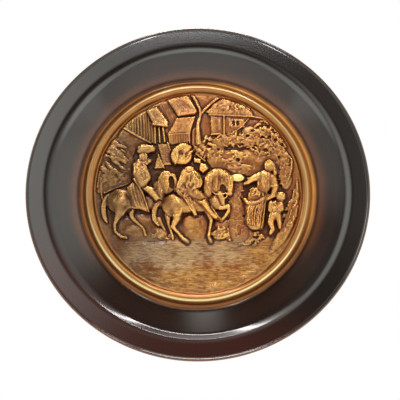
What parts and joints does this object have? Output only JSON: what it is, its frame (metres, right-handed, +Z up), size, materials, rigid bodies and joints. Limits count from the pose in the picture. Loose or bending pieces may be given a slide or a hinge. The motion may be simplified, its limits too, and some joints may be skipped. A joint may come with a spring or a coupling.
{
  "type": "relief wall plaque",
  "caption": "Round dished wall plaque of pressed copper: a high-relief village scene with riders inside a raised bead, a broad stepped rim with a rolled edge, and a small hanging tab behind.",
  "frame": {"origin": "centre of the hanging tab's hole, on the plane of the wall", "axes": "+X to the right as the picture is seen, +Z up as it hangs, +Y into the wall; the picture faces -Y"},
  "size_m": [0.29, 0.0154, 0.29],
  "materials": {
    "antique_copper": "antiqued copper, polished on the high relief and darkened in the recesses and on the rim, lacquered",
    "plain_copper": "plain rolled copper, dull"
  },
  "bodies": {
    "root": {"plaque": "antique_copper", "hanging_tab": "plain_copper"}
  },
  "joints": []
}
